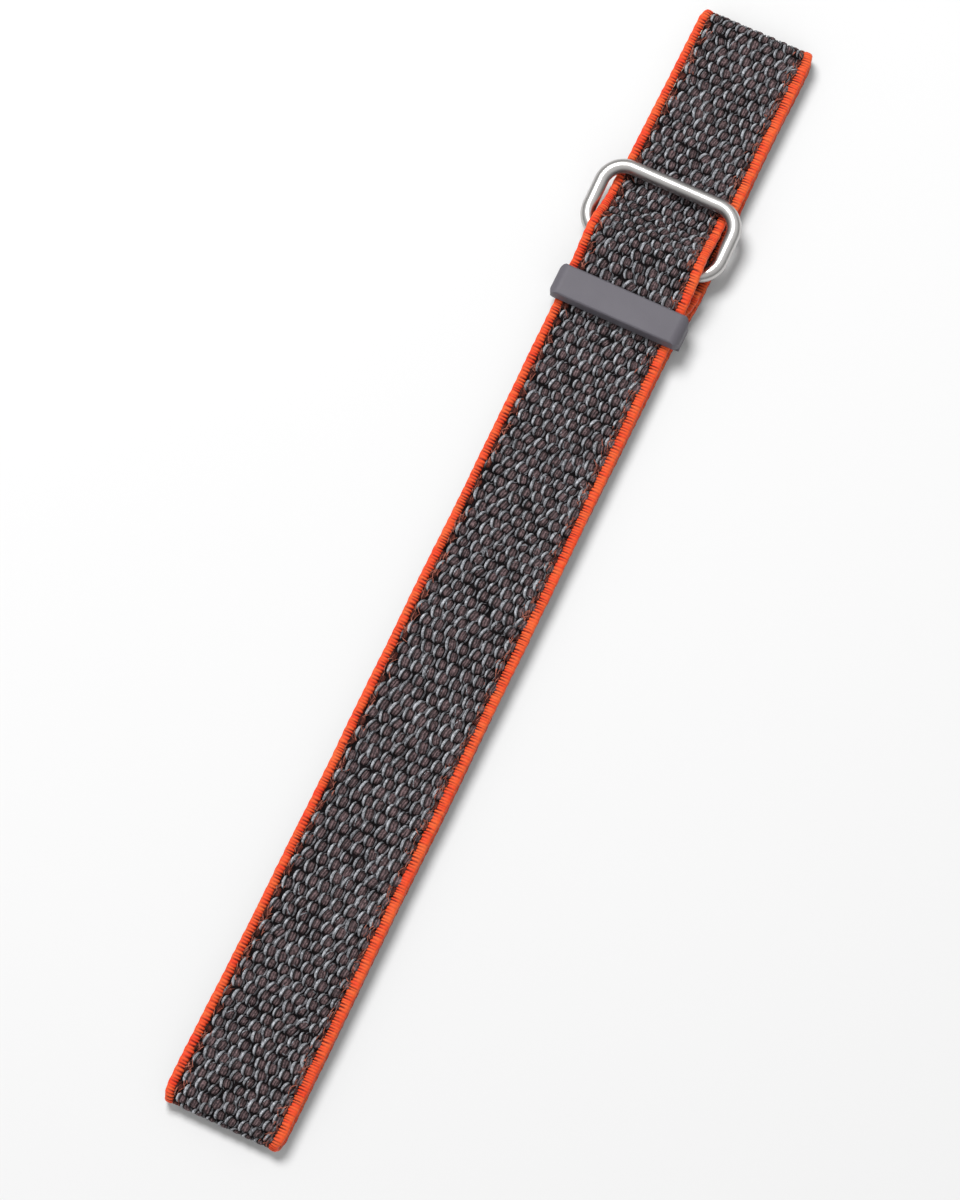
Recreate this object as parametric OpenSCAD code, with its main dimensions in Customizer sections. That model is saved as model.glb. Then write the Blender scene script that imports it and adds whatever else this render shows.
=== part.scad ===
// Upper arm band for a fitness tracker: one knitted elastic strap laid flat as a loop.
// One end of the strap is sewn round a bar of a steel slide ring. The strap runs round the loop,
// under the ring's free bar and back over the sewn bar, and its tail ends in a sliding keeper.
// X runs along the strap, Y across it, Z up from the table. Sizes are in millimetres.

/* [Strap] */
// Width of the strap over both selvedges
strap_w = 20; // [18:0.5:40]
// Thickness of the strap
strap_t = 1.6; // [1.4:0.1:2.2]
// Width of each orange selvedge
edge_w = 1.5; // [1.2:0.1:3]
// Rounding of the selvedge's outer corners
edge_round = 0.6; // [0.3:0.05:0.65]
// Length of the flat loop over both folds
loop_l = 200; // [160:5:300]
// Free height between two layers of the strap
layer_gap = 1.1; // [1:0.05:2]

/* [Elastic strands] */
// Number of covered rubber strands side by side in the knit
strand_count = 10; // [6:1:10]
// Width of a strand
strand_w = 0.9; // [0.5:0.1:1.1]
// Thickness of a strand
strand_t = 0.5; // [0.3:0.1:0.7]
// Free space round a strand in its channel
strand_gap = 0.05; // [0.03:0.01:0.1]
// Length of knit left closed at each end of a strand
strand_cover = 1; // [0.6:0.1:3]

/* [Slide ring] */
// Diameter of the steel wire
wire_d = 2.4; // [2:0.1:3]
// Distance between the ring's two bars, from centre to centre
ring_l = 12.2; // [10.5:0.1:16]
// Inner corner radius of the ring
ring_corner = 2.7; // [1.5:0.1:3]
// Clearance between the strap's edge and the ring's side
ring_side_gap = 0.35; // [0.2:0.05:0.6]
// How far the ring lies to one side of the strap's middle
ring_shift = 0.15; // [0:0.05:0.15]
// Distance from the fold to the ring's sewn bar
ring_set_in = 43.8; // [30:1:60]
// Clearance between the ring's free bar and the strap under it
bar_seat = 0.25; // [0.15:0.05:0.5]

/* [Sewn end] */
// Thickness of the pressed knit where it goes round the bar
loop_t = 1; // [0.8:0.05:1.05]
// Clearance between the wire and the knit round it
loop_gap = 0.2; // [0.1:0.05:0.3]
// Clearance between the sewn end and the ring's corner
loop_side_gap = 0.1; // [0.05:0.05:0.4]
// Length over which the strap climbs onto the bar
rise_l = 4.6; // [4.4:0.1:5.2]
// Bend radius where the strap starts to climb
rise_r = 2.5; // [1.5:0.1:2.7]
// How deep the stitches pull the folded end into the strap
tab_bite = 0.05; // [0.02:0.01:0.1]
// Width of the bar tack along the strap
tack_l = 1.8; // [1:0.1:2.4]
// Number of threads in the bar tack
tack_threads = 22; // [12:1:30]
// Thickness of the tack's thread
thread_d = 0.3; // [0.2:0.02:0.36]

/* [Tail] */
// Clearance between the tail and the sewn end under it
crest_gap = 0.2; // [0.1:0.05:0.5]
// Length over which the tail drops between the ring's bars
drop_l = 8; // [7:0.1:8.5]
// Bend radius at the foot of the drop
drop_r = 3; // [1.5:0.1:3.5]
// Bend radius where the tail leaves the keeper
lift_r = 4; // [2:0.1:5]

/* [Keeper] */
// Length of the keeper along the strap
keeper_l = 5.4; // [5:0.1:8]
// Free strap between the keeper and the ring's sewn bar
keeper_set = 7.6; // [7.6:0.1:12]
// Thickness of the keeper's side walls
keeper_wall = 1.15; // [1.1:0.05:1.6]
// Thickness of the keeper's top plate
keeper_top = 0.8; // [0.7:0.05:1.4]
// Rounding of the keeper's upper shoulders
keeper_shoulder = 1.6; // [0.8:0.1:1.8]
// Rounding of the keeper's corners seen from above
keeper_corner = 1.1; // [0.4:0.1:1.1]
// Rounding along the top plate's two long edges
keeper_edge = 0.35; // [0.2:0.05:0.5]
// How far the walls under the keeper's upper shell are set in at both ends
foot_in = 0.9; // [0.4:0.1:1]
// How far the upper shell reaches down below the clamp
shell_lip = 0.35; // [0.25:0.05:0.6]
// Clearance between the keeper and the strap that slides in it
slide_gap = 0.15; // [0.1:0.05:0.3]
// Clearance between the keeper's walls and the strap's edges
side_gap = 0.2; // [0.15:0.05:0.4]
// Thickness of the wall behind the tail's end
back_t = 0.7; // [0.5:0.1:1]
// Height of the tail where it is pressed in the keeper
pressed_t = 1.1; // [1:0.05:1.5]
// How far the keeper can slide towards the ring before it meets the sewn end
keeper_forward = 0.6; // [0.2:0.1:0.6]

/* [Tail clamp] */
// Thickness of the clamp's steel sheet
clamp_t = 0.5; // [0.4:0.05:0.8]
// Depth of the keeper's slots for the clamp
clamp_slot = 0.35; // [0.2:0.05:0.4]
// Number of teeth in a row
tooth_count = 9; // [5:1:12]
// Height of a tooth
tooth_h = 0.45; // [0.3:0.05:0.5]
// Width of a tooth across the strap
tooth_w = 0.7; // [0.4:0.05:1]
// Height of the ridges under the top plate
ridge_h = 0.3; // [0.2:0.05:0.4]
// Fit between pressed pieces
press_gap = 0.03; // [0.02:0.01:0.05]

/* [Snap tongues] */
// Length of a snap tongue along the strap
tongue_l = 2.6; // [2:0.1:3]
// Thickness of a snap tongue
tongue_t = 0.4; // [0.3:0.05:0.45]
// Height of a snap tongue over the base
tongue_h = 1.7; // [1.5:0.1:1.8]
// How far the barb stands out
barb = 0.22; // [0.15:0.02:0.26]
// Clearance round a snap tongue
snap_gap = 0.05; // [0.03:0.01:0.08]

/* [Hidden] */
$fn = 48;
arc_step = 9;
knit_colour = "#4b4243";
edge_colour = "#f4511e";
steel_colour = "#c9c7c4";
keeper_colour = "#7a787d";
rubber_colour = "#d8d2c4";
eps = 0.01;
press_bite = 0.3;

// Heights of the layers, at mid thickness unless they say top
low_z = strap_t / 2;
run_z = low_z + strap_t + layer_gap;
run_top = run_z + strap_t / 2;
fold_r = (run_z - low_z) / 2;

// The ring's two bars
wire_r = wire_d / 2;
bar_x = loop_l / 2 - ring_set_in;
loop_r = wire_r + loop_gap + loop_t / 2;
tab_z = run_z - strap_t / 2 - loop_t / 2 + tab_bite;
bar_z = tab_z + loop_r;
free_bar_z = run_top + bar_seat + wire_r;
ring_tilt = asin((free_bar_z - bar_z) / ring_l);
free_bar_x = bar_x + ring_l * cos(ring_tilt);
ring_half = strap_w / 2 + ring_side_gap + wire_r;
corner_r = ring_corner + wire_r;
loop_w = 2 * (ring_half - corner_r - loop_side_gap);

// The keeper's heights and walls
keeper_x1 = bar_x - keeper_set;
keeper_x0 = keeper_x1 - keeper_l;
base_t = layer_gap - 2 * slide_gap;
base_z = strap_t + slide_gap;
base_top = base_z + base_t;
clamp_z = run_top + slide_gap + press_gap;
shell_z = clamp_z - press_gap - shell_lip;
pocket_z = clamp_z + clamp_t;
pocket_top = pocket_z + pressed_t;
keeper_z = pocket_top + keeper_top;
tail_z = pocket_z + pressed_t / 2;
inner_y = strap_w / 2 + side_gap;
outer_y = inner_y + keeper_wall;
end_x = keeper_x0 + back_t;
tooth_rows = 2;
tooth_l = 0.6;
ridge_count = 3;
grip_l = keeper_l - 2 * back_t;

// The tail's crest over the sewn bar
crest_r = loop_r + loop_t / 2 + crest_gap + strap_t / 2;
crest_z = bar_z + crest_r;
mouth_x = keeper_x1 + slide_gap;

// The folded end reaches back to where the keeper stops
tab_l = keeper_set - keeper_forward - slide_gap;

// A path is a list of steps: [length, 0] goes straight, [radius, angle] turns, left if positive.
// A rise joins two level lines by a turn, a slope and the turn back; dx and dz are its whole size
// and r is the sum of its two radii.
function rise_angle(dx, dz, r) = atan2(dz - r, dx) + asin(r / norm([dx, dz - r]));
function rise_slope(dx, dz, r) = sqrt(dx * dx + dz * dz - 2 * dz * r);
climb = rise_angle(rise_l, bar_z + loop_r - run_z, rise_r + loop_r);
climb_l = rise_slope(rise_l, bar_z + loop_r - run_z, rise_r + loop_r);
wide_l = 0.3 * climb_l;
lift = rise_angle(bar_x - mouth_x, crest_z - tail_z, lift_r + crest_r);
lift_l = rise_slope(bar_x - mouth_x, crest_z - tail_z, lift_r + crest_r);
drop = rise_angle(drop_l, crest_z - run_z, crest_r + drop_r);
drop_slope = rise_slope(drop_l, crest_z - run_z, crest_r + drop_r);

// The strap from under the free bar, round both folds, to the foot of the sewn end
fold_x = loop_l / 2 - fold_r - strap_t / 2;
flat_x = bar_x - rise_l;
band_path = [[fold_x - free_bar_x, 0], [fold_r, -180], [2 * fold_x, 0], [fold_r, -180],
    [flat_x + fold_x, 0], [rise_r, climb], [wide_l, 0]];
// The narrow end: up onto the sewn bar, round it and back under the strap
end_path = [[climb_l, 0], [loop_r, -180 - climb], [tab_l, 0]];
climb_foot = [flat_x + rise_r * sin(climb), run_z + rise_r * (1 - cos(climb))];
// The tail from the keeper's mouth over the sewn bar and down under the free bar
tail_path = [[lift_r, lift], [lift_l, 0], [crest_r, -lift - drop], [drop_slope, 0], [drop_r, drop],
    [free_bar_x - bar_x - drop_l, 0]];
lift_foot = [mouth_x + lift_r * sin(lift), tail_z + lift_r * (1 - cos(lift))];

// Where a step ends that starts at p with the heading h
function step_end(step, p, h) = step[1] == 0
    ? [p.x + step[0] * cos(h), p.y + step[0] * sin(h)]
    : let (s = sign(step[1]) * step[0])
        [p.x + s * (sin(h + step[1]) - sin(h)), p.y - s * (cos(h + step[1]) - cos(h))];

// The stations along a path, each [x, z, heading]
function stations(path, p, h = 0, i = 0) = i == len(path) ? [[p.x, p.y, h]]
    : let (step = path[i], n = max(1, ceil(abs(step[1]) / arc_step)))
        concat([for (k = [0 : n - 1]) let (turn = step[1] * k / n, q = k == 0 ? p
                : step_end([step[0], turn], p, h)) [q.x, q.y, h + turn]],
            stations(path, step_end(step, p, h), h + step[1], i + 1));

// A point beside a station, u above its line
function beside(station, u) = [station.x - sin(station[2]) * u, station.y + cos(station[2]) * u];

// Strip of the thickness t and the width w along stations, its middle at y
module ribbon(line, t, w, y = 0) {
    above = [for (s = line) beside(s, t / 2)];
    below = [for (i = [len(line) - 1 : -1 : 0]) beside(line[i], -t / 2)];
    translate([0, y, 0]) rotate([90, 0, 0]) linear_extrude(w, center = true)
        polygon(concat(above, below));
}

// Selvedge along stations: flat towards the knit, round on the outside, on the side given by s
module selvedge(line, s) {
    t = strap_t / 2;
    outer = strap_w / 2;
    arc = [for (a = [0 : 30 : 90]) edge_round * [cos(a), sin(a)]];
    upper = [for (p = arc) [t - edge_round + p.y, outer - edge_round + p.x]];
    lower = [for (i = [len(arc) - 1 : -1 : 0]) [edge_round - t - arc[i].y,
        outer - edge_round + arc[i].x]];
    section = concat([[-t, outer - edge_w]], lower, upper, [[t, outer - edge_w]]);
    n = len(section);
    m = len(line);
    points = [for (station = line, q = section) let (p = beside(station, q.x)) [p.x, q.y, p.y]];
    sides = [for (i = [0 : m - 2], j = [0 : n - 1]) let (k = (j + 1) % n)
        [i * n + j, (i + 1) * n + j, (i + 1) * n + k, i * n + k]];
    ends = [[for (j = [0 : n - 1]) j], [for (j = [n - 1 : -1 : 0]) (m - 1) * n + j]];
    mirror([0, s < 0 ? 1 : 0, 0]) polyhedron(points, concat(sides, ends), convexity = 8);
}

// Rectangle with round corners, made of arcs
module rounded(size, r) {
    square([size.x - 2 * r, size.y], center = true);
    square([size.x, size.y - 2 * r], center = true);
    for (x = [-1, 1], y = [-1, 1])
        translate([x * (size.x / 2 - r), y * (size.y / 2 - r)]) circle(r);
}

// Rubber strands side by side along stations, grown by gap for their channels
module strands(line, gap) {
    pitch = (strap_w - 2 * edge_w) / strand_count;
    for (i = [0 : strand_count - 1])
        ribbon(line, strand_t + 2 * gap, strand_w + 2 * gap, (i - (strand_count - 1) / 2) * pitch);
}

// Strands of the loop: the band's path without its ends
module band_strands(gap) {
    cover = strand_cover - gap;
    path = [[band_path[0][0] - cover, 0], band_path[1], band_path[2], band_path[3],
        [band_path[4][0] - cover, 0]];
    strands(stations(path, [free_bar_x + cover, run_z]), gap);
}

// Strands of the tail: the tail's path without its ends
module tail_strands(gap) {
    path = [[lift_l, 0], tail_path[2], tail_path[3], tail_path[4],
        [tail_path[5][0] - strand_cover + gap, 0]];
    strands(stations(path, lift_foot, lift), gap);
}

module band_knit() {
    color(knit_colour) difference() {
        union() {
            ribbon(stations(band_path, [free_bar_x, run_z]), strap_t, strap_w - 2 * edge_w);
            ribbon(stations(end_path, climb_foot, climb), loop_t, loop_w);
        }
        band_strands(strand_gap);
    }
}

module band_edge_left() {
    color(edge_colour) selvedge(stations(band_path, [free_bar_x, run_z]), 1);
}

module band_edge_right() {
    color(edge_colour) selvedge(stations(band_path, [free_bar_x, run_z]), -1);
}

module band_elastic() {
    color(rubber_colour) band_strands(0);
}

// Zigzag thread on the strap that holds the folded end under it
module bar_tack() {
    pitch = (loop_w - 2 * thread_d) / tack_threads;
    tack_x = bar_x - tab_l + tack_l / 2 + thread_d;
    color(edge_colour) for (i = [0 : tack_threads - 1]) {
        lean = i % 2 == 0 ? 1 : -1;
        translate([tack_x, (i - (tack_threads - 1) / 2) * pitch, run_top])
            rotate([0, 0, lean * atan2(pitch, tack_l)])
            thread(tack_l);
    }
}

// A thread lying on the strap: half round, flat side down
module thread(length) {
    rotate([90, 0, 90]) linear_extrude(length, center = true) intersection() {
        circle(d = thread_d);
        translate([-thread_d / 2, 0]) square([thread_d, thread_d]);
    }
}

module slide_ring() {
    x = ring_l / 2 - corner_r;
    y = ring_half - corner_r;
    color(steel_colour) translate([bar_x, ring_shift, bar_z]) rotate([0, -ring_tilt, 0])
        translate([ring_l / 2, 0, 0]) {
            for (s = [-1, 1]) {
                translate([s * ring_l / 2, 0, 0]) rotate([90, 0, 0])
                    cylinder(h = 2 * y, r = wire_r, center = true);
                translate([0, s * ring_half, 0]) rotate([0, 90, 0])
                    cylinder(h = 2 * x, r = wire_r, center = true);
            }
            for (c = [[1, 1, 0], [-1, 1, 90], [-1, -1, 180], [1, -1, 270]])
                translate([c[0] * x, c[1] * y, 0]) rotate([0, 0, c[2]])
                    rotate_extrude(angle = 90) translate([corner_r, 0]) circle(wire_r);
        }
}

// The tail's pressed end in the keeper, between two distances from the strap's middle
module pressed_end(y0, y1) {
    translate([end_x, y0, pocket_z]) cube([mouth_x - end_x + press_bite, y1 - y0, pressed_t]);
}

module tail_knit() {
    half = strap_w / 2 - edge_w;
    color(knit_colour) difference() {
        union() {
            ribbon(stations(tail_path, [mouth_x, tail_z]), strap_t, 2 * half);
            pressed_end(-half, half);
        }
        tail_strands(strand_gap);
        clamp_teeth(press_gap);
        ridges(press_gap);
    }
}

module tail_edge_left() {
    color(edge_colour) {
        selvedge(stations(tail_path, [mouth_x, tail_z]), 1);
        pressed_end(strap_w / 2 - edge_w, strap_w / 2);
    }
}

module tail_edge_right() {
    color(edge_colour) {
        selvedge(stations(tail_path, [mouth_x, tail_z]), -1);
        pressed_end(-strap_w / 2, edge_w - strap_w / 2);
    }
}

module tail_elastic() {
    color(rubber_colour) tail_strands(0);
}

// Teeth of the clamp, grown by gap for the prints that they leave in the knit
module clamp_teeth(gap) {
    pitch = (strap_w - 2 * edge_w) / tooth_count;
    for (row = [0 : tooth_rows - 1], i = [0 : tooth_count - 1])
        translate([end_x + grip_l * (row + 0.5) / tooth_rows,
                (i - (tooth_count - 1) / 2) * pitch, pocket_z])
            rotate([90, 0, 0]) linear_extrude(tooth_w + 2 * gap, center = true)
                polygon([[-tooth_l / 2 - gap, -eps], [tooth_l / 2 + gap, -eps],
                    [tooth_l / 2 + gap, 0], [0, tooth_h + gap], [-tooth_l / 2 - gap, 0]]);
}

// Ridges under the top plate that press into the tail
module ridges(gap) {
    w = strap_w - 4 * edge_w;
    for (i = [0 : ridge_count - 1])
        translate([end_x + grip_l * (i + 0.5) / ridge_count, 0, pocket_top])
            rotate([90, 0, 0]) linear_extrude(w + 2 * gap, center = true)
                polygon([[-ridge_h - gap, eps], [-ridge_h - gap, 0], [0, -ridge_h - gap],
                    [ridge_h + gap, 0], [ridge_h + gap, eps]]);
}

// The keeper's outer form: a shell with round shoulders, corners and long edges on shorter walls
module keeper_form() {
    mid_x = (keeper_x0 + keeper_x1) / 2;
    foot_r = keeper_edge;
    intersection() {
        translate([mid_x, 0, 0]) rotate([90, 0, 90]) linear_extrude(keeper_l, center = true) {
            translate([-outer_y, base_z + foot_r])
                square([2 * outer_y, keeper_z - base_z - keeper_shoulder - foot_r]);
            translate([foot_r - outer_y, base_z]) square([2 * (outer_y - foot_r), 2 * foot_r]);
            translate([keeper_shoulder - outer_y, keeper_z - 2 * keeper_shoulder])
                square([2 * (outer_y - keeper_shoulder), 2 * keeper_shoulder]);
            for (s = [-1, 1]) {
                translate([s * (outer_y - keeper_shoulder), keeper_z - keeper_shoulder])
                    circle(keeper_shoulder);
                translate([s * (outer_y - foot_r), base_z + foot_r]) circle(foot_r);
            }
        }
        translate([mid_x, 0, base_z - 1]) linear_extrude(keeper_z - base_z + 2)
            rounded([keeper_l, 2 * outer_y], keeper_corner);
        translate([mid_x, 0, 0]) rotate([90, 0, 0]) linear_extrude(2 * outer_y + 2, center = true) {
            translate([0, (keeper_z + shell_z) / 2])
                rounded([keeper_l, keeper_z - shell_z], keeper_edge);
            translate([0, (keeper_z + base_z) / 2])
                rounded([keeper_l - 2 * foot_in, keeper_z - base_z], keeper_edge);
        }
    }
}

// Snap tongue at the side given by s, grown by gap for its pocket in the cover
module tongue(s, gap) {
    y0 = inner_y + snap_gap - gap;
    y1 = inner_y + snap_gap + tongue_t + gap;
    top = base_top + tongue_h + gap;
    catch = top - barb - tongue_t;
    mid_x = (keeper_x0 + keeper_x1) / 2;
    mirror([0, s < 0 ? 1 : 0, 0]) translate([mid_x, 0, 0]) rotate([90, 0, 90])
        linear_extrude(tongue_l + 2 * gap, center = true)
            polygon([[y0, base_top - eps], [y1, base_top - eps], [y1, catch], [y1 + barb, catch],
                [y1 + barb, catch + gap], [y1, top], [y0, top]]);
}

module keeper_cover() {
    color(keeper_colour) {
        difference() {
            keeper_form();
            // Cut off at the joint with the base
            translate([keeper_x0 - 1, -outer_y - 1, base_z - 1])
                cube([keeper_l + 2, 2 * outer_y + 2, base_top - base_z + 1]);
            // Slot for the strap that slides through
            translate([keeper_x0 - 1, -inner_y, base_top - 1])
                cube([keeper_l + 2, 2 * inner_y, clamp_z - base_top + 1]);
            // Pocket for the clamp and the tail's end, open towards the ring
            translate([end_x, -inner_y, clamp_z - eps])
                cube([keeper_l, 2 * inner_y, pocket_top - clamp_z + eps]);
            // Slots in the side walls for the clamp's ends
            translate([end_x, -inner_y - clamp_slot, clamp_z - press_gap])
                cube([keeper_l, 2 * (inner_y + clamp_slot), clamp_t + 2 * press_gap]);
            for (s = [-1, 1])
                tongue(s, snap_gap);
        }
        ridges(0);
    }
}

module keeper_base() {
    color(keeper_colour) {
        intersection() {
            keeper_form();
            translate([keeper_x0 - 1, -outer_y - 1, base_z - 1])
                cube([keeper_l + 2, 2 * outer_y + 2, base_t + 1]);
        }
        for (s = [-1, 1])
            tongue(s, 0);
    }
}

module tail_clamp() {
    reach = inner_y + clamp_slot - press_gap;
    color(steel_colour) {
        translate([end_x + press_gap, -reach, clamp_z]) cube([grip_l, 2 * reach, clamp_t]);
        clamp_teeth(0);
    }
}

band_knit();
band_edge_left();
band_edge_right();
band_elastic();
bar_tack();
slide_ring();
tail_knit();
tail_edge_left();
tail_edge_right();
tail_elastic();
keeper_cover();
keeper_base();
tail_clamp();
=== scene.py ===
"""Looks of the upper arm tracker band: knit, orange selvedges, steel ring and keeper.

The strap is built in its own coordinates: s runs along it, y across it and n stands up from its
middle. A path then lays it out round the loop. Along a piece of cloth the place is called c, which
counts the knit as it was made, so that it opens over the folds and packs in the keeper. Sizes are
in millimetres until a mesh is made.
"""
from math import asin, atan2, cos, hypot, pi, sin, sqrt

import bpy
import numpy as np
from mathutils import Matrix, Vector

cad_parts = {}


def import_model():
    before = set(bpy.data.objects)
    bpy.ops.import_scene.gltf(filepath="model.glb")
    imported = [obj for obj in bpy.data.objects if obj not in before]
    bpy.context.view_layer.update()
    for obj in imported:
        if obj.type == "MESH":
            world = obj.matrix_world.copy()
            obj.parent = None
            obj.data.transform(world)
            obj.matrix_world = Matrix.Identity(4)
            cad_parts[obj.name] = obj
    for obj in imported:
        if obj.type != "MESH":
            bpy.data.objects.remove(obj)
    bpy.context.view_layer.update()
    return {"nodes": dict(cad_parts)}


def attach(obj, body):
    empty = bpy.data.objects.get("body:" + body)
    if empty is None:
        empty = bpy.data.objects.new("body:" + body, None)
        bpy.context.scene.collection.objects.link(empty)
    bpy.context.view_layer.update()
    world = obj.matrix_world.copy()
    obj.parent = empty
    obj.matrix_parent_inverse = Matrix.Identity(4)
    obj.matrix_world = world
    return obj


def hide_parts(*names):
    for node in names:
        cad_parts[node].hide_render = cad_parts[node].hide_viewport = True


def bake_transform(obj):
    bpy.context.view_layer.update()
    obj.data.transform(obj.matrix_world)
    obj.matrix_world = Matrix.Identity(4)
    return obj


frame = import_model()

MM = 0.001
random = np.random.default_rng(41)

# Sizes repeated from the part, in mm
STRAP_W, STRAP_T, EDGE_W = 20.0, 1.6, 1.5
RUN_Z = 3.5                               # middle of the loop's upper layer
FOLD_R, FOLD_X = 1.35, 97.85              # the folds at both ends of the loop
BAR_X, BAR_Z, LOOP_R = 56.2, 4.15, 1.9    # the sewn bar and the strap's loop round it
RISE_L, RISE_R, TAB_L = 4.6, 2.5, 6.85    # rise to the sewn bar, and the sewn end
RING_L, FREE_BAR_DROP = 12.2, 1.6         # between the bars' middles; the free bar lies lower
FREE_BAR_X = BAR_X + RING_L * cos(asin(FREE_BAR_DROP / RING_L))
TAIL_Z, MOUTH_X, LIFT_R = 5.53, 48.75, 4.0    # the tail at the keeper's mouth
CREST_R, DROP_L, DROP_R = 3.4, 8.0, 3.0       # the tail over the sewn bar and down
LOOP_W, LOOP_T = 15.1, 1.0                # the narrow end in the ring
PRESSED_T = 1.1                           # the tail in the keeper
KEEPER_TRAVEL = 100.0
BLEND_START, BLEND_END = 48.5, 43.95      # where the tail goes over from the band to the keeper
TACK_X = 50.55                            # middle of the bar tack

# The knit's lattice, measured on the photograph
COLUMN = 1.66        # along the strap, from one column of beads to the next
WIDE_COLUMN = 1.90   # the same where the upper run lies drawn out
BEAD_COLUMN = 1.91   # the column that the beads' shapes are drawn for
PITCH = 2.19         # across the strap, from bead to bead
LATTICE_SHIFT = 0.05        # the lattice's middle lies this far to -Y
EDGE_ZONE = 0.55            # beads this close to a selvedge are partly covered by it
EDGE_BEAD_IN = {1: 0.24, -1: 0.35}    # how far inside the left and the right selvedge these lie
GROUND = 0.36        # height of the dark ground over the strap's middle
SUNK = GROUND - 0.16        # height at which beads start, in the ground
FOLD_STRETCH = 1.4   # how far the outside of a fold opens
RIB = {1: 0.55, -1: 0.50}   # width of one turn of the left and the right selvedge
RUBBER_STRANDS = 10


# Paths

class Path:
    """A line in the XZ plane, made of steps: (length, 0) straight or (radius, angle) turned."""

    def __init__(self, start, steps):
        x, z = start
        s, heading = 0.0, 0.0
        rows = []
        for size, turn in steps:
            rows.append((s, x, z, heading, size, turn))
            x, z, heading = (float(q) for q in self._step(x, z, heading, size, turn, None))
            s += size * abs(turn) if turn else size
        self.rows = np.array(rows)
        self.length = s
        self.marks = [row[0] for row in rows] + [s]

    @staticmethod
    def _step(x, z, h, size, turn, part):
        """The point part way along a step, or at its end if part is None."""
        size, turn = np.asarray(size, float), np.asarray(turn, float)
        straight = turn == 0
        length = np.where(straight, size, size * np.abs(turn)) if part is None else part
        side = np.where(straight, 0.0, np.sign(turn) * size)
        safe = np.where(straight, 1.0, size)
        a = np.where(straight, 0.0, np.sign(turn) * length / safe)
        run = np.where(straight, length, 0.0)
        return (x + run * np.cos(h) + side * (np.sin(h + a) - np.sin(h)),
                z + run * np.sin(h) - side * (np.cos(h + a) - np.cos(h)), h + a)

    def at(self, s):
        """x, z and heading at each distance s; straight on past both ends."""
        i = np.clip(np.searchsorted(self.rows[:, 0], s, side="right") - 1, 0, len(self.rows) - 1)
        s0, x, z, h, size, turn = self.rows[i].T
        past = s > self.length
        inside = np.where(past, self.length, s) - s0
        before = s < 0
        x, z, h = self._step(x, z, h, size, np.where(before, 0.0, turn), inside)
        over = np.where(past, s - self.length, 0.0)
        return x + over * np.cos(h), z + over * np.sin(h), h


def rise(dx, dz, r):
    """Angle and slope length of a rise that joins two level lines; r is the sum of its radii."""
    return (atan2(dz - r, dx) + asin(r / hypot(dx, dz - r)),
            sqrt(dx * dx + dz * dz - 2 * dz * r))


flat_x = BAR_X - RISE_L
climb, climb_l = rise(RISE_L, BAR_Z + LOOP_R - RUN_Z, RISE_R + LOOP_R)
crest_z = BAR_Z + CREST_R
lift, lift_l = rise(BAR_X - MOUTH_X, crest_z - TAIL_Z, LIFT_R + CREST_R)
drop, drop_l = rise(DROP_L, crest_z - RUN_Z, CREST_R + DROP_R)

band_path = Path((FREE_BAR_X, RUN_Z), [
    (FOLD_X - FREE_BAR_X, 0), (FOLD_R, -pi), (2 * FOLD_X, 0), (FOLD_R, -pi),
    (flat_x + FOLD_X, 0), (RISE_R, climb), (climb_l, 0), (LOOP_R, -pi - climb), (TAB_L, 0)])
tail_path = Path((MOUTH_X, TAIL_Z), [
    (LIFT_R, lift), (lift_l, 0), (CREST_R, -lift - drop), (drop_l, 0), (DROP_R, drop),
    (FREE_BAR_X - BAR_X - DROP_L, 0)])


# How the strap lies

def smooth(a, b, x):
    """0 before a, 1 after b and a smooth step between."""
    t = np.clip((x - a) / (b - a), 0, 1)
    return t * t * (3 - 2 * t)


def bump(a, top, b, x):
    """0 outside a and b, 1 at top."""
    return smooth(a, top, x) * (1 - smooth(top, b, x))


def plateaus(rows, x):
    """A sum of hills with level tops. Each row: rise from, rise to, fall from, fall to, height."""
    return sum(high * smooth(a, b, x) * (1 - smooth(c, d, x)) for a, b, c, d, high in rows)


def wander(s, seed, size):
    """A slow, smooth irregularity along the strap."""
    lengths = (61.0, 23.0, 9.7, 4.1)    # of its waves
    usual_height = 1.6                  # of their sum, which size is given for
    phase = np.random.default_rng(seed).uniform(0, 2 * pi, len(lengths))
    waves = sum(np.sin(s * 2 * pi / length + p) / (k + 1)
                for k, (length, p) in enumerate(zip(lengths, phase)))
    return size * waves / usual_height


# Hills of the strap's sideways lie, for plateaus(): along the whole strap, from the start of the
# upper run that ends at the ring, and from that run's end, where it leans to one side
BEFORE, BEYOND = -2.0, 1000.0   # places before the strap's start and past its end
ASKEW = ((BEFORE, BEFORE + 1, 60, 160, -0.36), (0, 30, 60, 160, -0.16), (34, 50, 50, 64, 0.18),
         (60, 67, 77, 86, -0.45), (80, 90, 180, 215, 0.25), (138, 172, 172, 205, -0.33))
RUN_BOW = ((4, 60, 68, 135, -0.24), (4, 60, BEYOND, BEYOND + 1, -0.08),
           (6, 20, 20, 34, -0.12), (30, 50, 50, 100, 0.13))
RUN_LEAN = ((-3, 1.5, 3, 6, -0.75), (-12, -4.5, -4.5, 0, 0.07))
run_start, run_end = band_path.marks[4:6]


def band_sway(s):
    """The strap lies a little askew, and its upper run leans to one side under the tail."""
    return (plateaus(ASKEW, s) + plateaus(RUN_BOW, s - run_start) + plateaus(RUN_LEAN, s - run_end)
            + wander(s, 3, 0.05))


def band_spread(s):
    """A little narrower before the first fold, in both folds and early in the upper run."""
    marks = band_path.marks
    folds = sum(bump(a - 0.4, (a + b) / 2, b + 0.4, s) for a, b in (marks[1:3], marks[3:5]))
    return 0.988 + 0.010 * smooth(40, 100, s) - 0.012 * bump(238, 276, 325, s) - 0.05 * folds


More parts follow.
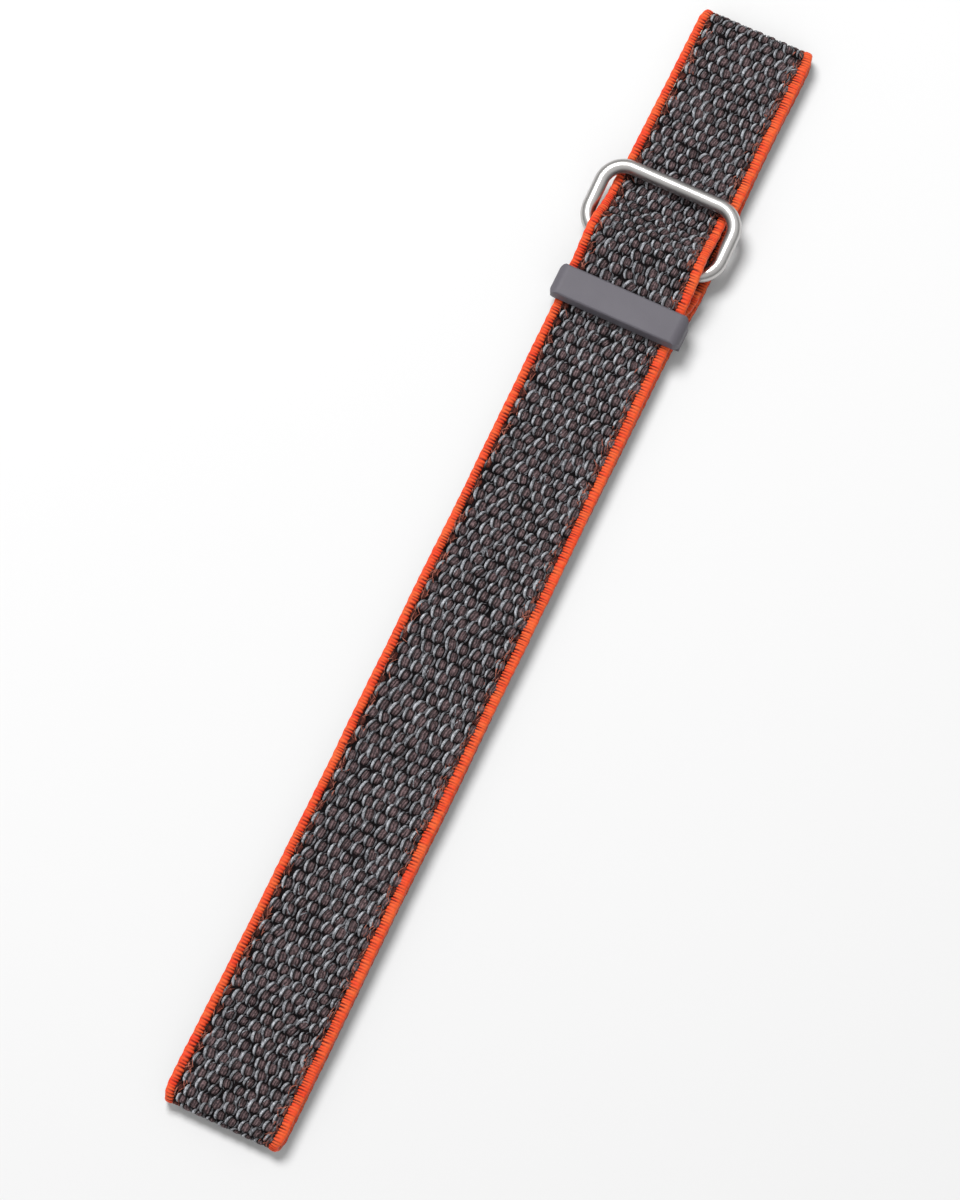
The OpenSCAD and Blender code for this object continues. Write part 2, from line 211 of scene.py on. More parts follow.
def band_column(c):
    """Spacing of the bead columns: wider along the middle of the upper run's first half."""
    run = c - upper
    return COLUMN + (WIDE_COLUMN - COLUMN) * smooth(24, 34, run) * (1 - smooth(80, 98, run))


def tail_sway(s):
    """The tail lies to the left, and more so towards the free bar."""
    return 0.10 + 0.22 * smooth(0, 18, s) + wander(s, 5, 0.03)


def tail_spread(s):
    """Narrower where the tail goes through the ring."""
    return 1 - 0.030 * smooth(6, 13, s)


def tail_scale(s):
    """The cloth is pressed thin in the keeper, and full outside it."""
    pressed = PRESSED_T / STRAP_T
    return pressed + (1 - pressed) * smooth(-0.1, 1.1, s)


def tail_column(c):
    """Closer over the crest, where the strap's outside opens."""
    start, end = tail_path.marks[2:4]
    return COLUMN * (1 - 0.19 * bump(start - 1.6, (start + end) / 2 - 0.8, end, c))


# In the keeper the tail's cloth is packed so that it comes out evenly as the keeper slides
packed_x = np.linspace(BLEND_END - 1, BLEND_START, 2000)
blend_share = smooth(0, 1, (BLEND_START - packed_x) / (BLEND_START - BLEND_END))
drawn_x = packed_x - KEEPER_TRAVEL * blend_share


def tail_to_s(c):
    """The place along the tail's path of a place along its cloth."""
    x = c + MOUTH_X
    packed = np.interp(x, drawn_x, packed_x)
    return np.where(x < BLEND_START, packed, x) - MOUTH_X


class Layout:
    """Lays strap coordinates (c, y, n) out in space.

    sway and spread move and widen the strap, scale thins it, and column is the spacing of its
    bead columns. stretch lists the path's steps over which the cloth opens.
    """

    def __init__(self, path, sway, spread, column, stretch=(), scale=None, to_s=None):
        self.path, self.sway, self.spread, self.scale = path, sway, spread, scale
        self.column = column
        marks = path.marks
        cloth = [0.0]
        for i in range(len(marks) - 1):
            length = marks[i + 1] - marks[i]
            cloth.append(cloth[-1] + length * (FOLD_STRETCH if i in stretch else 1.0))
        self.cloth, self.marks = np.array(cloth), np.array(marks)
        self.length = cloth[-1]
        self.to_s = to_s or self._to_s

    def columns(self, start):
        """Places of all columns of beads along the cloth, from start to its end."""
        rows = [start]
        while rows[-1] < self.length:
            rows.append(rows[-1] + self.column(rows[-1]))
        return np.array(rows)

    def _to_s(self, c):
        """The place along the path of a place along the cloth; straight on past both ends."""
        s = np.interp(c, self.cloth, self.marks)
        return s + np.where(c < 0, c, 0) + np.where(c > self.length, c - self.length, 0)

    def points(self, p):
        """Points in space, in metres, of strap points (c, y, n)."""
        s = self.to_s(p[:, 0])
        x, z, h = self.path.at(s)
        n = p[:, 2] * (self.scale(s) if self.scale else 1.0)
        y = p[:, 1] * self.spread(s) + self.sway(s)
        return np.stack([x - np.sin(h) * n, y, z + np.cos(h) * n], 1) * MM


band = Layout(band_path, band_sway, band_spread, band_column, stretch=(1, 3))
tail = Layout(tail_path, tail_sway, tail_spread, tail_column, scale=tail_scale, to_s=tail_to_s)
under, fold_2, upper, foot = band.cloth[2:6]    # where the path's steps start, along the cloth
band_columns = band.columns(0.4)
tail_columns = tail.columns(BLEND_END + 1.1 - KEEPER_TRAVEL - MOUTH_X)


# Meshes. A shape is (points, {3: triangles, 4: quads}, uv).

class Cloth:
    """Collects shapes in strap coordinates and makes one mesh of them."""

    def __init__(self):
        self.points, self.uvs, self.tones, self.tops = [], [], [], []
        self.faces, self.mats = {3: [], 4: []}, {3: [], 4: []}
        self.count = 0

    def add(self, shape, mat, tone=0.5, top=0.0):
        """Adds one shape. tone and top are one number, or one a point."""
        points, faces, uv = shape
        for sides, rows in faces.items():
            if len(rows):
                self.faces[sides].append(rows + self.count)
                self.mats[sides].append(np.full(len(rows), mat))
        self.points.append(points)
        self.uvs.append(uv)
        self.tones.append(np.broadcast_to(np.asarray(tone, float), (len(points),)))
        self.tops.append(np.broadcast_to(np.asarray(top, float), (len(points),)))
        self.count += len(points)

    def copies(self, shape, places, mat, tones):
        """One copy of shape for each place: (c, y, n0, size along, size across, height, turn)."""
        points, faces, uv = shape
        c, y, n0, along, across, high, turn = (q[:, None] for q in np.asarray(places).T)
        a, b = points[:, 0] * along, points[:, 1] * across
        a, b = a * np.cos(turn) - b * np.sin(turn), a * np.sin(turn) + b * np.cos(turn)
        n = n0 + points[:, 2] * high
        k, m = len(points), len(places)
        first = (np.arange(m) * k)[:, None, None]
        uv_shift = 10 * np.arange(m)[:, None, None] * [0.37, 0.61]    # each copy has other flecks
        self.add((np.stack([c + a, y + b, n], -1).reshape(-1, 3),
                  {sides: (rows[None] + first).reshape(-1, sides) for sides, rows in faces.items()},
                  (uv[None] + uv_shift).reshape(-1, 2)),
                 mat, np.repeat(tones, k), np.tile(points[:, 1], m))

    def build(self, name, layout, materials):
        """The object, with its yarn map and the numbers tone, rise and top that the looks read."""
        points = np.concatenate(self.points)
        v = layout.points(points)
        me = bpy.data.meshes.new(name)
        me.vertices.add(len(v))
        me.vertices.foreach_set("co", v.ravel())
        quads = np.concatenate(self.faces[4]) if self.faces[4] else np.zeros((0, 4), int)
        tris = np.concatenate(self.faces[3]) if self.faces[3] else np.zeros((0, 3), int)
        loops = np.concatenate([quads.ravel(), tris.ravel()])
        starts = np.concatenate([np.arange(len(quads)) * 4,
                                 len(quads) * 4 + np.arange(len(tris)) * 3])
        me.loops.add(len(loops))
        me.loops.foreach_set("vertex_index", loops)
        me.polygons.add(len(starts))
        me.polygons.foreach_set("loop_start", starts)
        me.polygons.foreach_set("material_index",
                                np.concatenate(self.mats[4] + self.mats[3]).astype(np.int32))
        me.polygons.foreach_set("use_smooth", np.ones(len(starts), bool))
        me.update(calc_edges=True)
        uv = me.uv_layers.new(name="yarn")
        uv.data.foreach_set("uv", np.concatenate(self.uvs)[loops].ravel())
        for key, values in (("tone", np.concatenate(self.tones)),
                            ("rise", np.abs(points[:, 2]) / (STRAP_T / 2)),
                            ("top", np.concatenate(self.tops))):
            me.attributes.new(key, "FLOAT", "POINT").data.foreach_set("value", values)
        me.validate()
        for m in materials:
            me.materials.append(m)
        ob = bpy.data.objects.new(name, me)
        bpy.context.scene.collection.objects.link(ob)
        return ob


def ring_faces(rows, cols, reverse=False):
    """Quads between rows rings of cols points each."""
    i, j = np.meshgrid(np.arange(rows - 1), np.arange(cols), indexing="ij")
    k = (j + 1) % cols
    quads = np.stack([i * cols + j, i * cols + k, (i + 1) * cols + k, (i + 1) * cols + j], -1)
    quads = quads.reshape(-1, 4)
    return quads[:, ::-1] if reverse else quads


def end_fans(rows, cols):
    """Triangles that close both ends of a tube; the last two points are the ends' middles."""
    j = np.arange(cols)
    k = (j + 1) % cols
    last = (rows - 1) * cols
    first = np.stack([k, j, np.full(cols, rows * cols)], 1)
    other = np.stack([last + j, last + k, np.full(cols, rows * cols + 1)], 1)
    return np.concatenate([first, other])


def tube(rings, uv):
    """A closed tube through rings (rows, cols, 3), each ring running the same way round."""
    rows, cols, _ = rings.shape

    def with_middles(q):
        return np.concatenate([q.reshape(-1, q.shape[-1]), q[0].mean(0)[None], q[-1].mean(0)[None]])

    faces = {4: ring_faces(rows, cols), 3: end_fans(rows, cols)}
    return with_middles(rings), faces, with_middles(uv)


def tube_uv(along, t, wrap):
    """A yarn map for a tube: along it, and wrap times the angle t round it."""
    return np.stack(np.broadcast_arrays(along[:, None], wrap * t[None]), -1)


def dome(seg, radii, ripple=0.0, power=0.5, square=2.0):
    """A dome over the unit circle, 1 high, with ripples like the turns of a coiled yarn.

    A square over 2 fills the corners of its outline.
    """
    t = np.arange(seg) * 2 * pi / seg
    arm = (np.abs(np.cos(t)) ** square + np.abs(np.sin(t)) ** square) ** (-1 / square)
    rings, high = [], []
    for i, r in enumerate(radii):
        rings.append(np.stack([r * arm * np.cos(t), r * arm * np.sin(t)], 1))
        wave = ripple * (-1) ** i * (1 - r ** 6)
        high.append(np.full(seg, max(0.0, 1 - r * r) ** power + wave))
    points = np.concatenate([np.zeros((1, 2))] + rings)
    points = np.column_stack([points, np.concatenate([[1.0 - ripple]] + high)])
    j = np.arange(seg)
    fan = np.stack([np.zeros(seg, int), 1 + j, 1 + (j + 1) % seg], 1)
    quads = ring_faces(len(radii), seg, reverse=True) + 1
    return points, {3: fan, 4: quads}, points[:, :2].copy()


def crescent(steps, cols):
    """The light yarn over a bead: an arc round its far side, thickest in the middle."""
    a = np.radians(np.linspace(4, 176, steps))
    arch = np.sin(a)
    centre = np.stack([1.08 * np.cos(a), 0.50 * arch ** 0.8 - 0.03, 0.22 + 0.40 * arch ** 0.6], 1)
    out = np.stack([0.5 * np.cos(a), np.sin(a), np.zeros(steps)], 1)
    out /= np.linalg.norm(out, axis=1)[:, None]
    wide = 0.07 + 0.20 * arch
    tall = 0.10 + 0.28 * arch
    t = np.arange(cols) * 2 * pi / cols + pi / cols
    rings = (centre[:, None] + out[:, None] * (wide[:, None] * np.cos(t))[..., None]
             + np.array([0, 0, 1.0]) * (tall[:, None] * np.sin(t))[..., None])
    return tube(rings[:, ::-1], tube_uv(a, t, 0.3)[:, ::-1])


def flip(shape):
    """The same points with their faces turned over, for the strap's inner side."""
    points, faces, uv = shape
    return points, {k: rows[:, ::-1] for k, rows in faces.items()}, uv


def mirrored(shape):
    """The same shape the other way round across the strap."""
    points, faces, uv = flip(shape)
    return points * [1, -1, 1], faces, uv


def facing(shape, side):
    """A shape for the strap's outer (1) or inner (-1) side; None stays None."""
    return flip(shape) if shape and side < 0 else shape


def ground_ribbon(c0, c1, half, high):
    """The knit's ground, which its look paints near black as the shade between the beads: a flat
    closed strip.
    """
    step, points_across = 0.6, 9
    rows = max(2, int((c1 - c0) / step) + 1)
    c = np.linspace(c0, c1, rows)
    ys = np.linspace(-half, half, points_across)
    section = np.array([(y, high) for y in ys] + [(y, -high) for y in ys[::-1]])
    rings = np.stack(np.broadcast_arrays(c[:, None], section[:, 0], section[:, 1]), -1)
    return tube(rings[:, ::-1], rings[:, ::-1, :2])


# Shapes of the knit at three levels of detail: bead, crescent, linking yarn and single strand
FINE = (dome(14, (0.16, 0.33, 0.5, 0.67, 0.84, 1.0), 0.05, 0.42, square=2.7), crescent(9, 7),
        mirrored(crescent(7, 5)), dome(8, (0.6, 1.0)))
PLAIN = dome(10, (0.35, 0.7, 1.0), 0.03), crescent(6, 5), mirrored(crescent(4, 4)), None
COARSE = dome(7, (0.6, 1.0)), crescent(4, 4), None, None
BODY, YARN, PAINTED_SHADE_GROUND, TRACER, RED_BODY, STRAND = range(6)    # material slots of a knit piece


def lattice(columns, c0, c1, half):
    """Places of the beads between c0 and c1: along, across, 1 next to a selvedge, column width."""
    rows = []
    for k in np.flatnonzero((columns >= c0) & (columns < c1)):
        wide = columns[k + 1] - columns[k] if k + 1 < len(columns) else COLUMN
        shift = 0.5 if k % 2 else 0.0
        for j in range(-5, 6):
            y = (j + 0.5 + shift) * PITCH - LATTICE_SHIFT
            if abs(y) < half - EDGE_ZONE:
                rows.append((columns[k], y, 0.0, wide))
            elif abs(y) < half + EDGE_ZONE:
                side = 1 if y > 0 else -1
                rows.append((columns[k], side * (half - EDGE_BEAD_IN[side]), 1.0, wide))
    return np.array(rows)


def knit(cloth, columns, c0, c1, half, side, detail, high=1.0):
    """Beads, crescents and linking yarns on one side of the strap between c0 and c1."""
    bead, cap, link, strand = (facing(shape, side) for shape in detail)
    at = lattice(columns, c0, c1, half)
    m = len(at)
    wide = at[:, 3] / BEAD_COLUMN
    edge = at[:, 2] > 0
    jitter = 0.09
    c = at[:, 0] + random.normal(0, jitter, m)
    y = at[:, 1] + random.normal(0, jitter, m) * ~edge
    grow = random.normal(1, 0.07, m)
    turn = random.normal(-0.08, 0.14, m)
    tone = random.uniform(0, 1, m)

    # Beads next to a selvedge are smaller: along the strap, across it and in height
    short, small, low = (np.where(edge, size, 1.0) for size in (0.85, 0.62, 0.78))
    room = (STRAP_T / 2 - 0.02 - SUNK) * low

    def place(along, across, tall, dy, dx=0.0, keep=slice(None)):
        """Rows for Cloth.copies. Column 5 is the height, still to be multiplied by the room."""
        rows = np.stack([c + dx * wide, y + dy, np.full(m, side * high * SUNK),
                         along * wide * grow * short, across * grow * small,
                         np.full(m, side * high * tall), turn], 1)
        return rows[keep]

    rows = place(1.00, 0.77, 0.94, -0.34 * small)
    rows[:, 5] *= room * random.uniform(0.86, 1.0, m)
    for mat, keep in ((BODY, ~edge), (RED_BODY, edge)):
        cloth.copies(bead, rows[keep], mat, tone[keep])

    rows = place(1.04, 1.0, 1.0, -0.02 * small)
    rows[:, 3] *= random.uniform(0.9, 1.1, m)
    rows[:, 5] *= room * random.uniform(0.90, 1.0, m)
    dull = edge & (random.uniform(0, 1, m) < 0.9)
    for mat, keep in ((YARN, ~dull), (RED_BODY, dull)):
        cloth.copies(cap, rows[keep], mat, (random.uniform(0, 1, m) - 0.7 * edge)[keep])
    if not link:
        return

    # A second crescent on some beads
    second = ~edge & (random.uniform(0, 1, m) < 0.22)
    twist = random.normal(0, 0.45, m)
    rows = place(0.80, 0.80, 0.85, -0.45, keep=second)
    rows[:, 5] *= STRAP_T / 2 - 0.04 - SUNK
    rows[:, 6] += twist[second]
    cloth.copies(cap, rows, YARN, random.uniform(-0.3, 0.9, len(rows)))

    # Single strands between the columns, leaning one way or the other
    for way, share in ((1, 0.45), (-1, 0.2)) if strand else ():
        some = ~edge & (random.uniform(0, 1, m) < share)
        rows = place(0.56, 0.13, 1.0, -0.33, dx=0.98 * way, keep=some)
        rows[:, 5] *= room[some] * random.uniform(0.70, 0.86, len(rows))
        rows[:, 6] -= way * random.uniform(0.6, 1.0, len(rows))
        cloth.copies(strand, rows, STRAND, random.uniform(0, 1, len(rows)))

    # Linking yarns, on the beads' other side
    inside = ~edge & (at[:, 1] > 1.5 - half)
    rows = place(0.80, 0.72, 1.0, -0.94, keep=inside)
    rows[:, 5] *= room[inside] * random.uniform(0.66, 0.88, len(rows))
    cloth.copies(link, rows, STRAND, random.uniform(-0.5, 0.9, len(rows)))


def tracers(cloth, c0, c1, half, side, detail, high=1.0):
    """Reddish threads that show in short dashes between the beads next to each selvedge."""
    dash = facing(detail[1], side)
    per_column, margin = 4, 0.8
    for edge in (-1, 1):
        m = int((c1 - c0) / COLUMN * per_column)
        c = np.sort(random.uniform(c0 + margin, c1 - margin, m))
        y = edge * (half - np.abs(random.normal(0.5, 0.45, m)))
        rows = np.stack([c, y, np.full(m, side * high * (GROUND - 0.1)),
                         random.uniform(0.35, 0.75, m), random.uniform(0.22, 0.42, m),
                         side * high * random.uniform(0.34, 0.50, m), random.normal(0, 0.5, m)], 1)
        cloth.copies(dash, rows, TRACER, random.uniform(0, 1, m))


def web(name, layout, columns, parts, half=STRAP_W / 2 - EDGE_W, high=1.0):
    """One piece of the knit. parts are (c0, c1, detail outside, detail inside).

    half is half its width, and high its thickness against the full strap's.
    """
    cloth = Cloth()
    for c0, c1, outside, inside in parts:
        cloth.add(ground_ribbon(c0, c1, half + 0.05, GROUND * high), PAINTED_SHADE_GROUND)
        knit(cloth, columns, c0, c1, half, 1, outside, high)
        knit(cloth, columns, c0, c1, half, -1, inside, high)
        if outside is not COARSE:
            tracers(cloth, c0, c1, half, 1, outside, high)
    return cloth.build(name, layout, [bead_mat, yarn_mat, painted_shade_ground_mat, tracer_mat, red_bead_mat,
                                      strand_mat])


def selvedge(name, layout, c0, c1, side, cols=14):
    """An orange selvedge: a roll of transverse turns of yarn. Each turn is a real rib."""
    valley_depth, lump_length, end_taper = 0.36, 1.8, 0.8
    turns = int((c1 - c0) / RIB[side])
    pitch = np.clip(1 + 0.16 * random.normal(0, 1, turns), 0.65, 1.5)
    starts = c0 + np.concatenate([[0], np.cumsum(pitch)]) * (c1 - c0) / pitch.sum()
    stations = np.array([0.0, 0.22, 0.5, 0.78])     # rings of points over one turn of yarn
    valley_at = [1.0, 0.28, 0.0, 0.28]              # and how much of a valley is at each
    k = len(stations)
    c = (starts[:-1, None] + np.diff(starts)[:, None] * stations).ravel()
    groove = random.uniform(0.5, 1.6, turns)
    valley = np.tile(valley_at, turns) * np.repeat(groove, k)
    puff = np.repeat(random.normal(0, 0.02, turns), k)
    jag = np.repeat(random.normal(0, 0.06, turns), k)[:, None]

    # The section, rounder on its outer side, and its valleys, which fade out towards that side
    t = np.arange(cols) * 2 * pi / cols
    across = np.sign(np.cos(t)) * np.abs(np.cos(t)) ** 0.8
    up = np.sign(np.sin(t)) * np.abs(np.sin(t)) ** np.where(np.cos(t) > 0, 0.55, 0.8)
    inner = across < 0
    fade = np.clip(0.72 - 0.66 * across, 0.0, 1.0)
    dent = valley_depth * valley[:, None] * fade[None] - puff[:, None]
    lump = (wander(c, 11 + side, 0.05) + 0.035 * np.sin(c * 2 * pi / lump_length))[:, None]
    swell = -0.10 * side        # the right one is a little wider
    half_w = 0.5 * (EDGE_W + 0.15 + swell) + lump * 0.5
    centre = STRAP_W / 2 - EDGE_W / 2 + 0.025 - swell / 2 + lump * 0.5
    y = centre + across * half_w * (1 - 0.35 * dent * inner) + jag * inner * across
    wave = (1 - 0.03 * np.cos(c * 2 * pi / lump_length + 1))[:, None]
    n = up * (STRAP_T / 2 - 0.01) * (1 - dent) * wave
    rings = np.stack([np.broadcast_to(c[:, None], y.shape), side * y, n], -1)
    ends = smooth(c0, c0 + end_taper, c) * (1 - smooth(c1 - end_taper, c1, c))
    rings[:, :, 2] *= np.sqrt(np.clip(ends, 0.05, 1))[:, None]
    uv = tube_uv((np.arange(turns)[:, None] + stations).ravel(), t, 1)
    if side > 0:
        rings, uv = rings[:, ::-1], uv[:, ::-1]

    # Shades: one tone for each turn, and how deep the valley next to each ring of points is, which
    # sets the painted shade that the look puts in it
    tone = np.repeat(random.uniform(0, 1, turns) - 0.25 * (side > 0), k * cols)
    tone = np.concatenate([tone, [0.5, 0.5]])
    after = np.roll(groove, -1)
    depth = np.stack([groove, groove, 0.5 * (groove + after), after], 1)
    depth = np.concatenate([np.repeat(depth.ravel(), cols), [0, 0]])
    cloth = Cloth()
    cloth.add(tube(rings, uv), 0, tone, depth)
    ob = cloth.build(name, layout, [edge_mat])
    ob.visible_diffuse = False  # so that the orange doesn't tint the floor's shadow
    return ob


def bar_tack():
    """Zigzag of thread that sews the folded end to the strap."""
    turns, steps, thread_r, cols = 22, 8, 0.13, 6
    wide, tall = LOOP_W - 0.6, 1.8
    k = np.arange(turns * steps + 1)
    zig = 2 * np.abs((k / steps) % 2 - 1) - 1
    line = np.stack([foot + (TACK_X - flat_x) + zig * tall / 2, (k / (turns * steps) - 0.5) * wide,
                     0.80 + 0.06 * np.cos(zig * pi / 2)], 1)
    way = np.gradient(line, axis=0)
    way /= np.linalg.norm(way, axis=1)[:, None]
    side = np.cross(way, [0, 0, 1.0])
    side /= np.linalg.norm(side, axis=1)[:, None] + 1e-9
    up = np.cross(side, way)
    t = np.arange(cols) * 2 * pi / cols
    rings = line[:, None] + thread_r * (side[:, None] * np.cos(t)[:, None]
                                        + up[:, None] * np.sin(t)[:, None])
    run = np.concatenate([[0], np.cumsum(np.linalg.norm(np.diff(line, axis=0), axis=1))])
    cloth = Cloth()
    cloth.add(tube(rings, tube_uv(run, t, 0.2)), 0)
    return cloth.build("tack_thread", band, [edge_mat])


def rubber_strands():
    """The tail's covered rubber strands, oval in section, from the keeper to the free bar."""
    rows, cols, half_w, half_t = 60, 8, 0.42, 0.22
    pitch = (STRAP_W - 2 * EDGE_W) / RUBBER_STRANDS
    c = np.linspace(-0.25, tail.length - 1.0, rows)
    t = np.arange(cols) * 2 * pi / cols
    uv = tube_uv(c, t, 0.2)
    cloth = Cloth()
    for i in range(RUBBER_STRANDS):
        y = (i - (RUBBER_STRANDS - 1) / 2) * pitch + half_w * np.cos(t)
        rings = np.stack(np.broadcast_arrays(c[:, None], y, half_t * np.sin(t)), -1)
        cloth.add(tube(rings[:, ::-1], uv[:, ::-1]), 0)
    return cloth.build("tail_strands", tail, [rubber_mat])


# Materials

def linear(r, g, b):
    """An sRGB colour from 0 to 255 as linear values with alpha."""
    return tuple((c / 255 / 12.92) if c < 10.4 else ((c / 255 + 0.055) / 1.055) ** 2.4
                 for c in (r, g, b)) + (1.0,)


class Nodes:
    """Short calls that add nodes to a tree. Each gives the new node's output socket."""

    def __init__(self, tree):
        self.tree = tree

    def put(self, node, key, value):
        """Sets or links one input, named by its number or its name."""
        socket = node.inputs[key]
        if isinstance(value, bpy.types.NodeSocket):
            self.tree.links.new(value, socket)
        else:
            socket.default_value = value

    def add(self, kind, out=0, props=(), **inputs):
        """Inputs are named as in Blender with _ for a space, or numbered as i0, i1 and so on."""
        node = self.tree.nodes.new("ShaderNode" + kind)
        for key, value in dict(props).items():
            setattr(node, key, value)
        for key, value in inputs.items():
            numbered = key[0] == "i" and key[1:].isdigit()
            self.put(node, int(key[1:]) if numbered else key.replace("_", " "), value)
        return node.outputs[out]

    def math(self, operation, a, b=None, c=None, clamp=False):
        """A Math node with one, two or three inputs."""
        inputs = {f"i{i}": value for i, value in enumerate((a, b, c)) if value is not None}
        return self.add("Math", props={"operation": operation, "use_clamp": clamp}, **inputs)

    def ramp(self, value, low, high, to_low=0.0, to_high=1.0, kind="LINEAR"):
        """Takes value from low..high to to_low..to_high, and keeps it there."""
        return self.add("MapRange", props={"interpolation_type": kind}, Value=value, From_Min=low,
                        From_Max=high, To_Min=to_low, To_Max=to_high)

    def place(self):
        """The place in the part, in metres."""
        return self.add("TexCoord", out="Object")


class Look(Nodes):
    """A material with a Principled shader."""

    def __init__(self, name, **sockets):
        self.mat = bpy.data.materials.new(name)
        self.mat.use_nodes = True
        super().__init__(self.mat.node_tree)
        self.shader = self.tree.nodes["Principled BSDF"]
        self.finish(**sockets)

    def finish(self, **sockets):
        """Sets the shader's inputs and gives the material."""
        for key, value in sockets.items():
            self.put(self.shader, key.replace("_", " "), value)
        return self.mat

    def number(self, name):
        """A number that the mesh carries for each point: tone, rise or top."""
        return self.add("Attribute", out="Fac", props={"attribute_name": name})

    def yarn_map(self):
        """Along and round the yarn of a tube; from its middle on a dome."""
        return self.add("UVMap", props={"uv_map": "yarn"})

    def noise(self, where, scale, detail=3.0, rough=0.55):
        return self.add("TexNoise", Vector=where, Scale=scale, Detail=detail, Roughness=rough)

    def stretch(self, where, x, y, z=1.0):
        return self.add("Mapping", Vector=where, Scale=(x, y, z))

    def mix(self, factor, a, b, blend="MIX"):
        node = self.tree.nodes.new("ShaderNodeMix")
        node.data_type, node.blend_type = "RGBA", blend
        for i, value in ((0, factor), (6, a), (7, b)):
            self.put(node, i, value)
        return node.outputs[2]

    def bump(self, height, distance, strength=1.0):
        return self.add("Bump", Height=height, Distance=distance, Strength=strength)


def yarn_look(name, dark, light, rough, threads, contrast, depth, across=None):
    """Spun yarn: fine threads across the yarn map, uneven dye, and painted shade that makes it
    darker the deeper it lies, black at the ground, with less shine there too.

    across gives a second painted shade, from one edge of each shape to the other, as ramp's last
    values.
    """
    look = Look(name, Sheen_Weight=0.05, Sheen_Roughness=0.4)
    place = look.place()
    lines = look.add("TexWave", props={"wave_type": "BANDS", "bands_direction": "Y",
                                       "wave_profile": "SIN"},
                     Vector=look.yarn_map(), Scale=threads, Distortion=3.0, Detail=2.0,
                     Detail_Scale=3.0)
    cloud = look.noise(place, 260.0)
    fine = look.noise(place, 1900.0, 2.0)
    grain = look.noise(place, 3600.0, 1.0)
    speck = look.ramp(look.math("MULTIPLY_ADD", lines, 0.28, fine), 0.52, 0.82, 0.0, contrast)
    blotch = look.ramp(look.math("MULTIPLY_ADD", look.number("tone"), 0.6, cloud),
                       0.35, 1.1, 0.0, 1.0 - contrast)
    colour = look.mix(look.math("ADD", speck, blotch), dark, light)
    rise_ = look.number("rise")
    # Painted shade: darker the deeper a point lies in the knit, black at the ground; times an
    # uneven grain
    painted_shade_and_grain = look.math("MULTIPLY", look.ramp(rise_, 0.43, 0.88),
                      look.ramp(grain, 0.35, 0.65, 0.60, 1.20))
    if across:
        # A second painted shade, from one edge of each shape to the other
        painted_shade_and_grain = look.math("MULTIPLY", painted_shade_and_grain, look.ramp(look.number("top"), *across))
    colour = look.mix(1.0, colour, look.add("CombineColor", Red=painted_shade_and_grain, Green=painted_shade_and_grain, Blue=painted_shade_and_grain),
                      "MULTIPLY")
    height = look.math("MULTIPLY_ADD", fine, 0.5, lines)
    return look.finish(Base_Color=colour, Normal=look.bump(height, depth, 0.8),
                       Roughness=look.ramp(fine, 0.3, 0.7, rough - 0.1, rough + 0.1),
                       Specular_IOR_Level=look.ramp(rise_, 0.43, 0.80, 0.03, 0.22))


def painted_shade_ground_look():
    """The knit's dark ground yarn under the beads, made near black as painted shade of the deep
    gaps between them.
    """
    look = Look("knit_ground_painted_shade", Specular_IOR_Level=0.05)
    cells = look.noise(look.stretch(look.place(), 900, 1500, 900), 1.0)
    # Near black: painted shade of the gaps between the beads, over the ground yarn's own dark
    # colour
    colour = look.mix(look.ramp(cells, 0.35, 0.7), linear(9, 8, 9), linear(28, 24, 25))
    return look.finish(Base_Color=colour, Roughness=look.ramp(cells, 0.3, 0.7, 0.8, 0.95),
                       Normal=look.bump(cells, 0.0001))


def edge_look():
    """Bright orange yarn, turned across the strap, with painted shade in the valleys between turns
    and on the roll's sides.
    """
    look = Look("selvedge_yarn", Sheen_Weight=0.12, Sheen_Roughness=0.4, Specular_IOR_Level=0.35)
    uv, place = look.yarn_map(), look.place()
    fibres = look.noise(look.stretch(uv, 9, 3.0), 1.0, 4.0)
    blend = look.math("MULTIPLY_ADD", look.number("tone"), 0.45, look.noise(place, 350.0))
    colour = look.mix(look.ramp(blend, 0.35, 0.95), linear(250, 64, 21), linear(255, 108, 48))
    colour = look.mix(look.ramp(fibres, 0.40, 0.60, 0.26, 0.0), colour, linear(196, 38, 12))
    turn, angle = look.add("SeparateXYZ", Vector=uv).node.outputs[:2]
    from_valley = look.math("PINGPONG", turn, 0.5)
    ragged = look.math("MULTIPLY_ADD", look.noise(place, 1500.0, 1.0), 1.6,
                       look.math("COSINE", angle))
    # Painted shade in the valleys between turns, fading towards the roll's outer side and scaled by
    # each groove's depth
    valley = look.math("MULTIPLY", look.ramp(from_valley, 0.03, 0.40, 1.0, 0.0),
                       look.ramp(ragged, 0.2, 1.5, 1.0, 0.15))
    valley = look.math("MULTIPLY", valley, look.number("top"), clamp=True)
    colour = look.mix(valley, colour, linear(118, 14, 4))
    # Painted shade on the roll's sides, where they face sideways
    colour = look.mix(look.ramp(look.number("rise"), 0.0, 0.45, 0.6, 0.0), colour,
                      linear(120, 22, 6))
    return look.finish(Base_Color=colour, Roughness=look.ramp(fibres, 0.3, 0.7, 0.55, 0.72),
                       Normal=look.bump(fibres, 0.00004))


def steel_look():
    """Satin stainless wire with fine drawing marks along it."""
    look = Look("satin_steel", Metallic=1.0, Anisotropic=0.2)
    place = look.place()
    marks = look.noise(look.stretch(place, 900, 900, 4200), 1.0, 4.0)
    cloud = look.noise(place, 140.0)
    colour = look.mix(look.ramp(cloud, 0.3, 0.7), linear(181, 179, 177), linear(199, 197, 195))
    return look.finish(Base_Color=colour, Roughness=look.math("MULTIPLY_ADD", marks, 0.10, 0.25),
                       Normal=look.bump(marks, 0.000006, 0.5))


